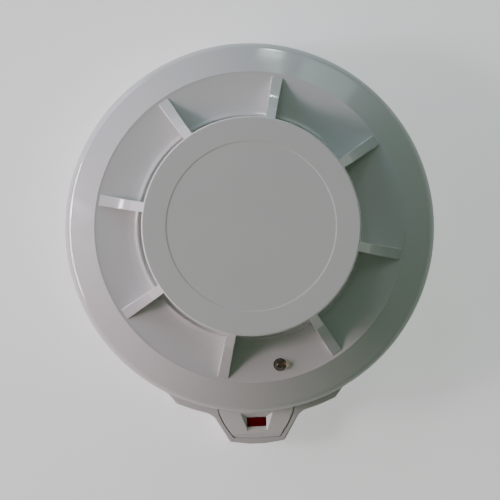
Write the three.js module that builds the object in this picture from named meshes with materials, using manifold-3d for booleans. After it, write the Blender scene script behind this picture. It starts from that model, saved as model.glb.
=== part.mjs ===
// Point heat detector: a bayonet head with a round cap raised on eight vanes, locked in its mounting base.
//
// Frame: millimetres, +Z out of the mounting surface, origin on the twist axis in the base's back face.
// The base's indicator tab points to -Y. The object lies on its back, as on a bench.
//
// Three assemblies: the base, the back half of the head (it turns in the base), and the front half of the
// head (case, cap, guard and seal, which pull off the back half for cleaning).

import * as THREE from "three";
import { ConvexGeometry } from "three/addons/geometries/ConvexGeometry.js";
import { mergeVertices } from "three/addons/utils/BufferGeometryUtils.js";
import Module from "manifold-3d";

const wasm = await Module();
wasm.setup();

// ---------------------------------------------------------------- driving dimensions (mm)

const TOTAL_H = 48; // back face to the top of the cap
const BASE_R = 50.9; // base outer wall
const BASE_H = 8;
const HEAD_R = 50; // lower edge of the head's skirt
const CAP_R = 27.9;
const GAP = 0.3; // clearance where two pieces rest on each other

// Base
const FLOOR_T = 2;
const WALL_T = 3;
const WALL_IN_R = BASE_R - WALL_T;
const SHOULDER_R = 52.5; // wider band on both sides of the tab
const SHOULDER_FROM = deg(14.4); // measured from the tab's axis
const SHOULDER_TO = deg(25.4);
const SHOULDER_RAMP = deg(28.7); // where the band has run out into the wall
const TAB = { angle: -Math.PI / 2, neckHalf: 11.8, neckY: -51.8, endHalf: 7.7, cornerY: -58.6, endY: -59.6 };
const COVER = { topY: -49.2, topHalf: 10.5, endY: -57.7, endHalf: 6.2, thickness: 1.4 };
const COVER_SEAT_Z = BASE_H - COVER.thickness - GAP;
const TAB_LED = { y: -53.6, width: 5.2, depth: 2.4, bottom: 3.8, top: 7.3 };
const PLATFORM_TOP = 3.5; // terminal platforms on the floor
const BRIDGE_HALF = 6; // the floor's central bridge, between two half-moon cable entries
const ENTRY_R = 15;
const FIXING_SLOT = { near: 25, far: 30, radius: 2 };

// Terminals: spring, clamp and screw on each platform
const TERMINALS = 4;
const TERMINAL_R = 28;
const CONTACT_R = 36; // where a spring's crest touches the head's blade
const SPRING_T = 0.5;
const SPRING_TOP = 8.8;

// Bayonet
const TWIST = deg(15); // unlocking turn
const LEDGES = 3;
const LEDGE_IN_R = 44.9;
const LEDGE_Z = 5.6;
const LEDGE_T = 2;
const LEDGE_SPAN = deg(14);
const LUG_SPAN = deg(12);
const LUG_Z = 3.2;
const STOP_SPAN = deg(3);

// Head, back half. Its angles are in the head's own frame, where the status LED stands towards -Y.
const HEAD_TURN = deg(10.1); // the locked head's turn from that frame
const PLATE_Z = 10;
const PLATE_T = 2;
const PLATE_R = 47.3;
const LUG_RING = { inner: 41.9, outer: 44.3 };
const BLADE = { inner: 33, outer: 39, thickness: 0.6, behind: deg(6), ahead: deg(14.5) };
const BLADE_Z = SPRING_TOP + GAP;
const RIVET_AHEAD = deg(10.5); // from the spring to the blade's rivet
const RIVET_R = 1.1;
const BOARD_Z = 13.8;
const BOARD_T = 1.6;
const BOARD_TOP = BOARD_Z + BOARD_T;
const BOARD_R = 40.5;
const BOARD_SCREWS = 3;
const BOARD_SCREW_R = 33;
const BOARD_SCREW_FIRST = deg(95);
const STATUS_LED = { ringR: 37.4, angle: -Math.PI / 2, radius: 1.5, flangeZ: 20.9, top: 27.6 };
const POST = { inner: 1.9, outer: 2.8, top: 30.5 }; // carries the sensing thermistor up into the air
const BEAD_Z = 34.2;

// Head, front half
const SKIRT_Z = BASE_H + GAP;
const SKIRT_IN_R = 47.8;
const STEP_Z = 13.6; // the case's inner step, above the seal
const DECK_Z = 25.9; // top of the deck under the cap
const DECK_T = 2;
const DECK_HOLE_R = 3.6;
const VANES = 8;
const VANE_OUT_T = 2.9; // thickness at the shoulder
const VANE_IN_T = 2.3; // thickness under the cap
const VANE_TOP_Z = 39.2;
const KEYS = 3; // keys that stop the case turning on the back plate
const KEY_SPAN = deg(4);
const GUARD = { inner: 23, outer: 25, rim: 1.5, bars: 20 };

const ROUND = 60; // segments in a large full circle
const SMALL = 12; // segments in a small one

function deg(angle) {
  return (angle * Math.PI) / 180;
}

// ---------------------------------------------------------------- solids and booleans

function solidOf(geometry) {
  const bare = geometry.index ? geometry.toNonIndexed() : geometry.clone();
  bare.deleteAttribute("normal");
  bare.deleteAttribute("uv");
  const merged = mergeVertices(bare, 1e-4);
  const mesh = new wasm.Mesh({
    numProp: 3,
    vertProperties: merged.attributes.position.array,
    triVerts: new Uint32Array(merged.index.array),
  });
  return new wasm.Manifold(mesh);
}

function geometryOf(solid) {
  const mesh = solid.getMesh();
  const geometry = new THREE.BufferGeometry();
  geometry.setAttribute("position", new THREE.BufferAttribute(mesh.vertProperties, 3));
  geometry.setIndex(new THREE.BufferAttribute(mesh.triVerts, 1));
  geometry.computeVertexNormals();
  return geometry;
}

function join(...geometries) {
  return geometryOf(geometries.map(solidOf).reduce((all, next) => all.add(next)));
}

function cut(body, ...tools) {
  return geometryOf(tools.map(solidOf).reduce((rest, tool) => rest.subtract(tool), solidOf(body)));
}

// ---------------------------------------------------------------- shape helpers

// A profile of [radius, height] points turned about Z. It runs counter-clockwise, and closes itself
// unless it starts and ends on the axis.
function turned(profile, segments = ROUND) {
  const points = profile.map(([radius, height]) => new THREE.Vector2(radius, height));
  if (profile[0][0] > 0) points.push(points[0].clone());
  return new THREE.LatheGeometry(points, segments).rotateX(Math.PI / 2);
}

function ring(inner, outer, z0, z1, segments = ROUND) {
  return turned([[inner, z0], [outer, z0], [outer, z1], [inner, z1]], segments);
}

function rod(radius, z0, z1, segments = SMALL) {
  return turned([[0, z0], [radius, z0], [radius, z1], [0, z1]], segments);
}

function box(width, depth, z0, z1) {
  return new THREE.BoxGeometry(width, depth, z1 - z0).translate(0, 0, (z0 + z1) / 2);
}

// A flat outline in XY, raised from z0 to z1.
function slab(shape, z0, z1, curveSegments = 8) {
  const options = { depth: z1 - z0, bevelEnabled: false, curveSegments };
  return new THREE.ExtrudeGeometry(shape, options).translate(0, 0, z0);
}

// An upright outline (x outwards, y up) of the given thickness across, centred on the +X half-plane.
function web(shape, thickness) {
  const options = { depth: thickness, bevelEnabled: false, curveSegments: 6 };
  return new THREE.ExtrudeGeometry(shape, options).translate(0, 0, -thickness / 2).rotateX(Math.PI / 2);
}

function shapeOf(points) {
  return new THREE.Shape(points.map(([x, y]) => new THREE.Vector2(x, y)));
}

function circlePath(radius, x = 0, y = 0) {
  return new THREE.Path().absarc(x, y, radius, 0, 2 * Math.PI, false);
}

function ringSector(inner, outer, z0, z1, from, to, curveSegments = 3) {
  const shape = new THREE.Shape();
  shape.absarc(0, 0, outer, from, to, false);
  shape.absarc(0, 0, inner, to, from, true);
  return slab(shape, z0, z1, curveSegments);
}

// The outline of a bent strip, from its centre line and thickness.
function stripShape(line, thickness) {
  const side = (offset) =>
    line.map(([x, y], i) => {
      const before = line[Math.max(i - 1, 0)];
      const after = line[Math.min(i + 1, line.length - 1)];
      const along = new THREE.Vector2(after[0] - before[0], after[1] - before[1]).normalize();
      return [x - along.y * offset, y + along.x * offset];
    });
  return shapeOf([...side(-thickness / 2), ...side(thickness / 2).reverse()]);
}

// Moves a geometry made on the axis out to a radius and an angle.
function placed(geometry, radius, angle) {
  return geometry.translate(radius, 0, 0).rotateZ(angle);
}

// Angles evenly spaced round the axis.
function spread(count, first) {
  return Array.from({ length: count }, (_, k) => first + (k * 2 * Math.PI) / count);
}

const TERMINAL_ANGLES = spread(TERMINALS, deg(45));
const LEDGE_ANGLES = spread(LEDGES, deg(90));
const SPRING_ANGLES_IN_HEAD = TERMINAL_ANGLES.map((angle) => angle - HEAD_TURN);
const RIVET_ANGLES = SPRING_ANGLES_IN_HEAD.map((angle) => angle + RIVET_AHEAD);
const BOARD_SCREW_ANGLES = spread(BOARD_SCREWS, BOARD_SCREW_FIRST);
const VANE_ANGLES = spread(VANES, STATUS_LED.angle + Math.PI / VANES);
const KEY_ANGLES = spread(KEYS, deg(30));

// ---------------------------------------------------------------- finishes

function finish(color, roughness, metalness = 0, extra = {}) {
  return new THREE.MeshStandardMaterial({ color, roughness, metalness, ...extra });
}

const GLOSS_WHITE = finish(0xe4e4e2, 0.22);
const MATT_WHITE = finish(0xdcdddb, 0.6);
const DARK_PLASTIC = finish(0x1b1b1d, 0.5);
const STEEL = finish(0xc2c4c6, 0.28, 1);
const BRASS = finish(0xc9a45a, 0.3, 1);
const BOARD_GREEN = finish(0x1f5a38, 0.45);
const RED_LENS = finish(0x8a0d12, 0.25);
const CLEAR_LENS = finish(0xf2f4f4, 0.08, 0, { transparent: true, opacity: 0.4 });
const GLASS_BEAD = finish(0x2a2622, 0.2);
const CERAMIC_BLUE = finish(0x2f5f9a, 0.5);
const FOAM_GREY = finish(0x4b4d4f, 0.9);

function piece(name, geometry, material) {
  const mesh = new THREE.Mesh(geometry, material);
  mesh.name = name;
  return mesh;
}

function numbered(name, angles, make, material) {
  return angles.map((angle, k) => piece(`${name}_${k + 1}`, make(angle), material));
}

// ---------------------------------------------------------------- base

function shoulderBand(side) {
  const middle = TAB.angle + (side * (SHOULDER_FROM + SHOULDER_TO)) / 2;
  const half = (SHOULDER_TO - SHOULDER_FROM) / 2;
  const ramp = TAB.angle + side * SHOULDER_RAMP;
  const shape = new THREE.Shape();
  shape.absarc(0, 0, SHOULDER_R, middle - half, middle + half, false);
  const foot = [(BASE_R - 1) * Math.cos(ramp), (BASE_R - 1) * Math.sin(ramp)];
  const root = TAB.angle + side * (SHOULDER_FROM - deg(3));
  const inner = [(BASE_R - 1) * Math.cos(root), (BASE_R - 1) * Math.sin(root)];
  const ends = side > 0 ? [foot, inner] : [inner, foot];
  ends.forEach(([x, y]) => shape.lineTo(x, y));
  return slab(shape, 0, BASE_H, 4);
}

function tabBlock() {
  const { neckHalf, neckY, endHalf, cornerY, endY } = TAB;
  const round = 1; // corner radius
  const shape = new THREE.Shape();
  shape.moveTo(neckHalf + 1.2, neckY + 1);
  shape.lineTo(neckHalf + 1.2, neckY + 3.5);
  shape.lineTo(-neckHalf - 1.2, neckY + 3.5);
  shape.lineTo(-neckHalf - 1.2, neckY + 1);
  shape.lineTo(-neckHalf, neckY);
  shape.lineTo(-endHalf, cornerY);
  shape.quadraticCurveTo(-endHalf + round / 2, cornerY - round, -endHalf + 2 * round, cornerY - round / 2);
  shape.quadraticCurveTo(0, 2 * endY - cornerY + round / 2, endHalf - 2 * round, cornerY - round / 2);
  shape.quadraticCurveTo(endHalf - round / 2, cornerY - round, endHalf, cornerY);
  shape.lineTo(neckHalf, neckY);
  return slab(shape, 0, BASE_H, 5);
}

// The tab cover's outline with its bowed sides, grown all round by a margin.
function coverShape(margin) {
  const top = COVER.topY + margin;
  const end = COVER.endY - margin;
  const wide = COVER.topHalf + margin;
  const narrow = COVER.endHalf + margin;
  const bow = (COVER.topY + COVER.endY) / 2 + 0.4;
  const shape = new THREE.Shape();
  shape.moveTo(wide, top);
  shape.lineTo(-wide, top);
  shape.quadraticCurveTo(-wide, bow, -narrow, end);
  shape.quadraticCurveTo(0, end - 0.5, narrow, end);
  shape.quadraticCurveTo(wide, bow, wide, top);
  return shape;
}

// One of the half-moon cable entries, with its flat side along the bridge.
function cableEntry(turn) {
  const start = Math.asin(BRIDGE_HALF / ENTRY_R);
  const shape = new THREE.Shape();
  shape.absarc(0, 0, ENTRY_R, start, Math.PI - start, false);
  return slab(shape, -1, FLOOR_T + 1, 8).rotateZ(turn);
}

function fixingSlot(turn) {
  const { near, far, radius } = FIXING_SLOT;
  const shape = new THREE.Shape();
  shape.absarc(near, 0, radius, Math.PI / 2, (3 * Math.PI) / 2, false);
  shape.absarc(far, 0, radius, -Math.PI / 2, Math.PI / 2, false);
  return slab(shape, -1, FLOOR_T + 1, 4).rotateZ(turn);
}

function bayonetLedge(angle) {
  const half = LEDGE_SPAN / 2;
  return ringSector(LEDGE_IN_R, WALL_IN_R + 1, LEDGE_Z, LEDGE_Z + LEDGE_T, angle - half, angle + half);
}

// Two stops for each lug: one for the locked head and one where it comes free.
function lugStops(angle) {
  const play = deg(1);
  const locked = angle - LUG_SPAN / 2 - play - STOP_SPAN;
  const free = angle + LUG_SPAN / 2 + TWIST + play;
  return [locked, free].map((from) =>
    ringSector(LEDGE_IN_R, WALL_IN_R + 1, FLOOR_T - 1, LEDGE_Z - 0.4, from, from + STOP_SPAN, 1),
  );
}

function mountingBase() {
  const bowl = turned([
    [0, 0],
    [BASE_R, 0],
    [BASE_R, BASE_H],
    [WALL_IN_R, BASE_H],
    [WALL_IN_R, FLOOR_T],
    [0, FLOOR_T],
  ]);
  const inside = rod(WALL_IN_R, FLOOR_T, BASE_H + 1, ROUND);
  const tab = cut(join(tabBlock(), shoulderBand(1), shoulderBand(-1)), inside);
  const platforms = TERMINAL_ANGLES.map((angle) => placed(box(12, 10, 1, PLATFORM_TOP), TERMINAL_R, angle));
  const screwHoles = TERMINAL_ANGLES.map((angle) => placed(rod(2, 1, 5), TERMINAL_R, angle));
  const boardWell = box(11, 7, FLOOR_T, BASE_H + 1).translate(0, TAB_LED.y, 0);
  return cut(
    join(bowl, tab, ...platforms, ...LEDGE_ANGLES.map(bayonetLedge), ...LEDGE_ANGLES.flatMap(lugStops)),
    ...screwHoles,
    slab(coverShape(GAP), COVER_SEAT_Z, BASE_H + 1),
    boardWell,
    cableEntry(0),
    cableEntry(Math.PI),
    fixingSlot(0),
    fixingSlot(Math.PI),
  );
}

// The bevelled pocket that the tab's LED stands in: a wide mouth running down to a close opening.
function pocketCut(mouthZ, floorZ) {
  const mouth = [[4.2, -51], [-4.2, -51], [-2.9, -56.1], [2.9, -56.1]];
  const floorHalf = TAB_LED.width / 2 + GAP;
  const floorDeep = TAB_LED.depth / 2 + GAP;
  const floor = [1, -1].flatMap((sx) => [1, -1].map((sy) => [sx * floorHalf, TAB_LED.y + sy * floorDeep]));
  return new ConvexGeometry([
    ...mouth.map(([x, y]) => new THREE.Vector3(x, y, mouthZ)),
    ...floor.map(([x, y]) => new THREE.Vector3(x, y, floorZ)),
  ]);
}

function tabCover() {
  const bottom = BASE_H - COVER.thickness;
  const through = box(TAB_LED.width + 2 * GAP, TAB_LED.depth + 2 * GAP, bottom - 1, BASE_H + 1);
  return cut(
    slab(coverShape(0), bottom, BASE_H),
    pocketCut(BASE_H + 0.01, BASE_H - 1.1),
    through.translate(0, TAB_LED.y, 0),
  );
}

function contactSpring(angle) {
  const flatZ = PLATFORM_TOP + GAP + SPRING_T / 2;
  const crestZ = SPRING_TOP - SPRING_T / 2;
  const line = [
    [TERMINAL_R - 4.4, flatZ],
    [TERMINAL_R + 4.4, flatZ],
    [CONTACT_R - 1.4, crestZ - 0.7],
    [CONTACT_R - 0.5, crestZ],
    [CONTACT_R + 0.5, crestZ],
    [CONTACT_R + 2.9, crestZ - 1.9],
  ];
  const leaf = web(stripShape(line, SPRING_T), 6);
  const hole = rod(2.1, PLATFORM_TOP, PLATFORM_TOP + 2).translate(TERMINAL_R, 0, 0);
  return cut(leaf, hole).rotateZ(angle);
}

const CLAMP_Z = PLATFORM_TOP + GAP + SPRING_T + GAP;
const CLAMP_T = 1.2;
const SCREW_SEAT_Z = CLAMP_Z + CLAMP_T + GAP;

function wireClamp(angle) {
  const half = 4;
  const corner = 0.8;
  const edge = half - corner;
  const plate = shapeOf([
    [half, -edge], [half, edge], [edge, half], [-edge, half],
    [-half, edge], [-half, -edge], [-edge, -half], [edge, -half],
  ]);
  plate.holes.push(circlePath(2));
  return placed(slab(plate, CLAMP_Z, CLAMP_Z + CLAMP_T), TERMINAL_R, angle);
}

// A screw with a domed head and a cross recess, its head seated at seatZ and its point at tipZ.
function crossScrew({ tipZ, seatZ, shankR, headR, headH }) {
  const body = turned(
    [
      [0, tipZ],
      [shankR - 0.3, tipZ],
      [shankR, tipZ + 0.4],
      [shankR, seatZ],
      [headR, seatZ],
      [headR, seatZ + 0.55 * headH],
      [0.75 * headR, seatZ + 0.9 * headH],
      [0, seatZ + headH],
    ],
    SMALL,
  );
  const recess = [0, Math.PI / 2].map((turn) =>
    box(1.15 * headR, 0.26 * headR, seatZ + 0.45 * headH, seatZ + 2 * headH).rotateZ(turn + 0.3),
  );
  return cut(body, ...recess);
}

function terminalScrew(angle) {
  const screw = crossScrew({ tipZ: 1.3, seatZ: SCREW_SEAT_Z, shankR: 1.7, headR: 3.2, headH: 2 });
  return placed(screw, TERMINAL_R, angle);
}

function basePieces() {
  const led = box(TAB_LED.width, TAB_LED.depth, TAB_LED.bottom, TAB_LED.top);
  const board = box(10, 6.2, FLOOR_T + GAP, TAB_LED.bottom - GAP);
  return [
    piece("mounting_base", mountingBase(), GLOSS_WHITE),
    piece("tab_cover", tabCover(), GLOSS_WHITE),
    piece("indicator_led", led.translate(0, TAB_LED.y, 0), RED_LENS),
    piece("indicator_board", board.translate(0, TAB_LED.y, 0), BOARD_GREEN),
    ...numbered("contact_spring", TERMINAL_ANGLES, contactSpring, STEEL),
    ...numbered("wire_clamp", TERMINAL_ANGLES, wireClamp, BRASS),
    ...numbered("terminal_screw", TERMINAL_ANGLES, terminalScrew, STEEL),
  ];
}

// ---------------------------------------------------------------- head, back half

function bayonetLug(ledgeAngle) {
  const middle = ledgeAngle - HEAD_TURN;
  const half = LUG_SPAN / 2;
  return ringSector(LUG_RING.inner + 1, 47, LUG_Z, LEDGE_Z - 0.4, middle - half, middle + half);
}

function keyNotch(angle) {
  const half = KEY_SPAN / 2 + deg(0.6);
  return ringSector(46, PLATE_R + 1, PLATE_Z - 1, PLATE_Z + PLATE_T + 1, angle - half, angle + half, 1);
}

function backPlate() {
  const top = PLATE_Z + PLATE_T;
  const disc = rod(PLATE_R, PLATE_Z, top, ROUND);
  const lugRing = ring(LUG_RING.inner, LUG_RING.outer, LUG_Z, PLATE_Z + 1);
  const postTop = BOARD_Z - GAP;
  const posts = BOARD_SCREW_ANGLES.map((angle) => placed(rod(3, top - 1, postTop), BOARD_SCREW_R, angle));
  const postHoles = BOARD_SCREW_ANGLES.map((angle) =>
    placed(rod(1.5, PLATE_Z + 0.8, postTop + 1), BOARD_SCREW_R, angle),
  );
  const rivetHoles = RIVET_ANGLES.map((angle) =>
    placed(rod(RIVET_R + GAP, PLATE_Z - 1, top + 1), CONTACT_R, angle),
  );
  return cut(
    join(disc, lugRing, ...posts, ...LEDGE_ANGLES.map(bayonetLug)),
    ...postHoles,
    ...rivetHoles,
    ...KEY_ANGLES.map(keyNotch),
  );
}

function contactBlade(springAngle) {
  const from = springAngle - BLADE.behind;
  const to = springAngle + BLADE.ahead;
  const blade = ringSector(BLADE.inner, BLADE.outer, BLADE_Z, BLADE_Z + BLADE.thickness, from, to, 5);
  const hole = placed(rod(RIVET_R + GAP, BLADE_Z - 1, BLADE_Z + 2), CONTACT_R, springAngle + RIVET_AHEAD);
  return cut(blade, hole);
}

function bladeRivet(angle) {
  const headTop = BLADE_Z - GAP;
  const headZ = headTop - 0.5;
  const tip = BOARD_TOP + 0.8;
  const profile = [[0, headZ], [1.6, headZ], [2, headTop], [RIVET_R, headTop], [RIVET_R, tip], [0, tip]];
  return placed(turned(profile, SMALL), CONTACT_R, angle);
}

function circuitBoard() {
  const outline = new THREE.Shape().absarc(0, 0, BOARD_R, 0, 2 * Math.PI, false);
  const board = slab(outline, BOARD_Z, BOARD_TOP, ROUND / 2);
  const rivetHoles = RIVET_ANGLES.map((angle) =>
    placed(rod(RIVET_R + GAP, BOARD_Z - 1, BOARD_TOP + 1), CONTACT_R, angle),
  );
  const screwHoles = BOARD_SCREW_ANGLES.map((angle) =>
    placed(rod(1.6, BOARD_Z - 1, BOARD_TOP + 1), BOARD_SCREW_R, angle),
  );
  return cut(board, ...rivetHoles, ...screwHoles);
}

function boardScrew(angle) {
  const tipZ = PLATE_Z + 1.4;
  const screw = crossScrew({ tipZ, seatZ: BOARD_TOP + GAP, shankR: 1.2, headR: 2.5, headH: 1.4 });
  return placed(screw, BOARD_SCREW_R, angle);
}

// A bead on two straight leads that stand on the board.
function beadOnLeads(beadR, beadZ, leadR, leadSpread) {
  const bead = new THREE.SphereGeometry(beadR, SMALL, 8).scale(1, 1, 1.2).translate(0, 0, beadZ);
  const leads = [-1, 1].map((side) =>
    rod(leadR, BOARD_TOP + GAP, beadZ - 0.4 * beadR, 6).translate(side * leadSpread, 0, 0),
  );
  return join(bead, ...leads);
}

function statusLed() {
  const { ringR, angle, radius, flangeZ, top } = STATUS_LED;
  const flangeTop = flangeZ + 1;
  const domeZ = top - radius;
  const dome = [30, 60].map((rise) => {
    const turn = deg(rise);
    return [radius * Math.cos(turn), domeZ + radius * Math.sin(turn)];
  });
  const lens = turned(
    [
      [0, flangeZ],
      [1.9, flangeZ],
      [1.9, flangeTop],
      [radius, flangeTop],
      [radius, domeZ],
      ...dome,
      [0, top],
    ],
    SMALL,
  );
  const leads = [-1, 1].map((side) =>
    box(0.5, 0.5, BOARD_TOP + GAP, flangeZ + 0.5).translate(0, side * 1.27, 0),
  );
  return placed(join(lens, ...leads), ringR, angle);
}

function ledSpacer() {
  const sleeve = ring(1.85, 2.6, BOARD_TOP + GAP, STATUS_LED.flangeZ - GAP, SMALL);
  return placed(sleeve, STATUS_LED.ringR, STATUS_LED.angle);
}

// A flat chip package with its leads as a thin wider layer at its foot.
function flatPackage(width, depth, height) {
  const bottom = BOARD_TOP + GAP;
  return join(box(width, depth, bottom + 0.1, bottom + height), box(width + 1.6, depth - 1, bottom, bottom + 0.4));
}

function backHalfPieces() {
  const board = BOARD_TOP + GAP;
  const capacitor = turned(
    [[0, board], [2, board], [2, board + 4.3], [1.7, board + 4.6], [0, board + 4.6]],
    SMALL,
  );
  const suppressor = rod(2.3, -1.1, 1.1).rotateX(Math.PI / 2).translate(0, 0, board + 2.3);
  const post = ring(POST.inner, POST.outer, board, POST.top, SMALL);
  return [
    piece("back_plate", backPlate(), GLOSS_WHITE),
    ...numbered("contact_blade", SPRING_ANGLES_IN_HEAD, contactBlade, STEEL),
    ...numbered("blade_rivet", RIVET_ANGLES, bladeRivet, BRASS),
    piece("circuit_board", circuitBoard(), BOARD_GREEN),
    ...numbered("board_screw", BOARD_SCREW_ANGLES, boardScrew, STEEL),
    piece("sensing_thermistor", beadOnLeads(1.7, BEAD_Z, 0.3, 0.9), GLASS_BEAD),
    piece("thermistor_post", post, MATT_WHITE),
    piece("reference_thermistor", placed(beadOnLeads(1, board + 3, 0.25, 0.5), 36.4, deg(75)), GLASS_BEAD),
    piece("control_chip", placed(flatPackage(7, 9, 1.3), 15, deg(180)), DARK_PLASTIC),
    piece("bridge_rectifier", placed(flatPackage(5, 5, 1.2), 24, deg(20)), DARK_PLASTIC),
    piece("smoothing_capacitor", placed(capacitor, 36.4, deg(150)), DARK_PLASTIC),
    piece("surge_suppressor", placed(suppressor, 36.4, deg(190)), CERAMIC_BLUE),
    piece("status_led", statusLed(), CLEAR_LENS),
    piece("led_spacer", ledSpacer(), DARK_PLASTIC),
  ];
}

// ---------------------------------------------------------------- head, front half

// The case's wall, in section: skirt, rounded corner, sloping shoulder, shallow trough, lip, deck and back out.
function caseShell() {
  return turned([
    [SKIRT_IN_R, SKIRT_Z],
    [HEAD_R, SKIRT_Z],
    [HEAD_R - 0.7, 21.4],
    [HEAD_R - 1.2, 22.1],
    [HEAD_R - 2.1, 22.8],
    [41.6, 26.2],
    [40.6, 26.05],
    [37, 25.85],
    [32.6, 25.7],
    [31.3, 25.8],
    [30.6, 26.15],
    [30.2, 26.2],
    [29.8, DECK_Z],
    [DECK_HOLE_R, DECK_Z],
    [DECK_HOLE_R, DECK_Z - DECK_T],
    [32, DECK_Z - DECK_T],
    [34, 23.7],
    [41.5, 23.7],
    [46, 20.8],
    [46, STEP_Z],
    [SKIRT_IN_R, STEP_Z],
  ]);
}

// A vane: it leaves the shoulder at a low slope, then bends steeply up to the cap. It thins inwards.
function vane(angle) {
  const outline = shapeOf([
    [25.6, DECK_Z - 1],
    [42.2, DECK_Z - 1],
    [41.2, 26.1],
    [36.4, 27.8],
    [34.9, 28.5],
    [33.6, 29.5],
    [32, 31],
    [28.2, VANE_TOP_Z],
    [25.6, VANE_TOP_Z],
  ]);
  const blade = web(outline, 1);
  const place = blade.attributes.position;
  for (let i = 0; i < place.count; i += 1) {
    const out = THREE.MathUtils.clamp((place.getX(i) - 28) / 13, 0, 1);
    place.setY(i, place.getY(i) * THREE.MathUtils.lerp(VANE_IN_T, VANE_OUT_T, out));
  }
  return blade.rotateZ(angle);
}

function caseKey(angle) {
  const half = KEY_SPAN / 2;
  return ringSector(46.4, SKIRT_IN_R + 0.8, PLATE_Z - 1, PLATE_Z + PLATE_T, angle - half, angle + half, 1);
}

function outerCase() {
  const ledHole = placed(rod(STATUS_LED.radius + GAP, 20, 28), STATUS_LED.ringR, STATUS_LED.angle);
  return cut(join(caseShell(), ...VANE_ANGLES.map(vane), ...KEY_ANGLES.map(caseKey)), ledHole);
}

function topCap() {
  const skirtZ = VANE_TOP_Z + GAP;
  const recess = 0.18;
  return turned([
    [0, TOTAL_H - 2],
    [25.4, TOTAL_H - 2],
    [26.2, TOTAL_H - 2.8],
    [26.4, skirtZ],
    [CAP_R + 0.4, skirtZ],
    [CAP_R, TOTAL_H - 0.9],
    [CAP_R - 0.25, TOTAL_H - 0.25],
    [CAP_R - 0.9, TOTAL_H],
    [21.7, TOTAL_H],
    [21.5, TOTAL_H - recess],
    [0, TOTAL_H - recess],
  ]);
}

function sensorGuard() {
  const bottom = DECK_Z + GAP;
  const top = TOTAL_H - 2 - GAP;
  const middle = (GUARD.inner + GUARD.outer) / 2;
  const rims = [bottom, (bottom + top - GUARD.rim) / 2, top - GUARD.rim].map((z) =>
    ring(GUARD.inner, GUARD.outer, z, z + GUARD.rim, 2 * GUARD.bars),
  );
  const bars = spread(GUARD.bars, 0).map((angle) =>
    placed(box(1.4, 1.3, bottom + GUARD.rim / 2, top - GUARD.rim / 2), middle, angle),
  );
  return join(...rims, ...bars);
}

function frontHalfPieces() {
  return [
    piece("outer_case", outerCase(), GLOSS_WHITE),
    piece("top_cap", topCap(), MATT_WHITE),
    piece("sensor_guard", sensorGuard(), GLOSS_WHITE),
    piece("case_seal", ring(45.2, 47, PLATE_Z + PLATE_T + GAP, STEP_Z - GAP), FOAM_GREY),
  ];
}

// ---------------------------------------------------------------- assembly

const head = new THREE.Group();
head.rotation.z = HEAD_TURN;
head.add(...backHalfPieces(), ...frontHalfPieces());

const detector = new THREE.Group();
detector.add(...basePieces(), head);

export default detector;
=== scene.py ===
"""Looks of the heat detector: smooth moulded pieces, their materials, a soft studio and the camera.

Shapes are built in millimetres in the CAD frame and scaled to metres when a mesh is made.
"""

import math

import bpy
from mathutils import Matrix, Vector


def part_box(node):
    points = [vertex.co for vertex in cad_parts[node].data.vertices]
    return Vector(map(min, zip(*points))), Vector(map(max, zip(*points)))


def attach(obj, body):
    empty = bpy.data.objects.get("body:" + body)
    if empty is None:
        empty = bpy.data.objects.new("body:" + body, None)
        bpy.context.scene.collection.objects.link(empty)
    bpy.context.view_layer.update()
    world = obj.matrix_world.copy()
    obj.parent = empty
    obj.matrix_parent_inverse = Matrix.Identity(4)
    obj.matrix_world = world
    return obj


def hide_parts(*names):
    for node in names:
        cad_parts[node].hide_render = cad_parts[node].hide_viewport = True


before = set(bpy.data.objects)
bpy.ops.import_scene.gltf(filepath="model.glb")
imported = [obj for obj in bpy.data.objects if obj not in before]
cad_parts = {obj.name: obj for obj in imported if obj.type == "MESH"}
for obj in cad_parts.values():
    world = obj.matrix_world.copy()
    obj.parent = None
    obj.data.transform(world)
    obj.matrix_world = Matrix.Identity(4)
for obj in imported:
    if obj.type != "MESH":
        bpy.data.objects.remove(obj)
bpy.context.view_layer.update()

MM = 0.001


# ---------------------------------------------------------------- sizes from the frame, in mm


def box_mm(node):
    low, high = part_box(node)
    return low / MM, high / MM


def centre_of(node):
    low, high = box_mm(node)
    return (low + high) / 2


def angle_of(node):
    middle = centre_of(node)
    return math.atan2(middle.y, middle.x)


def numbered(start):
    """The CAD nodes start_1, start_2 and so on."""
    return sorted(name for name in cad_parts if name.startswith(start + "_"))


BASE_LOW, BASE_HIGH = box_mm("mounting_base")
CASE_LOW, CASE_HIGH = box_mm("outer_case")
CAP_LOW, CAP_HIGH = box_mm("top_cap")
COVER_LOW, COVER_HIGH = box_mm("tab_cover")
GUARD_LOW, GUARD_HIGH = box_mm("sensor_guard")
LED_LOW, LED_HIGH = box_mm("status_led")
TAB_LED_LOW, TAB_LED_HIGH = box_mm("indicator_led")
BOARD_LOW, BOARD_HIGH = box_mm("circuit_board")
CLEAR = 0.3  # the gap that the CAD keeps between touching pieces

BASE_R = BASE_HIGH.x
BASE_TOP = BASE_HIGH.z
WALL_IN_R = BASE_R - 3
FLOOR_TOP = 2
HEAD_R = 50.0
SKIRT_Z = CASE_LOW.z
DECK_Z = GUARD_LOW.z - CLEAR
VANE_TOP = CASE_HIGH.z
CAP_TOP = CAP_HIGH.z
CAP_SKIRT_Z = CAP_LOW.z
BOARD_TOP = BOARD_HIGH.z
ON_BOARD = BOARD_TOP + CLEAR
LED_R = 1.5
LED_RING_R = 37.4
LED_FLANGE_Z = 20.9
LED_ANGLE = angle_of("status_led")
HEAD_TURN = LED_ANGLE + math.pi / 2  # from the head's own frame, where the status LED stands towards -Y
VANES = 8
FINE = 240  # segments round a large circle

FLOOR_GLOW = 0.5
AMBIENT = 0.093
AMBIENT_TINT = (0.64, 1.0, 0.64)


# ---------------------------------------------------------------- outlines


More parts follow.
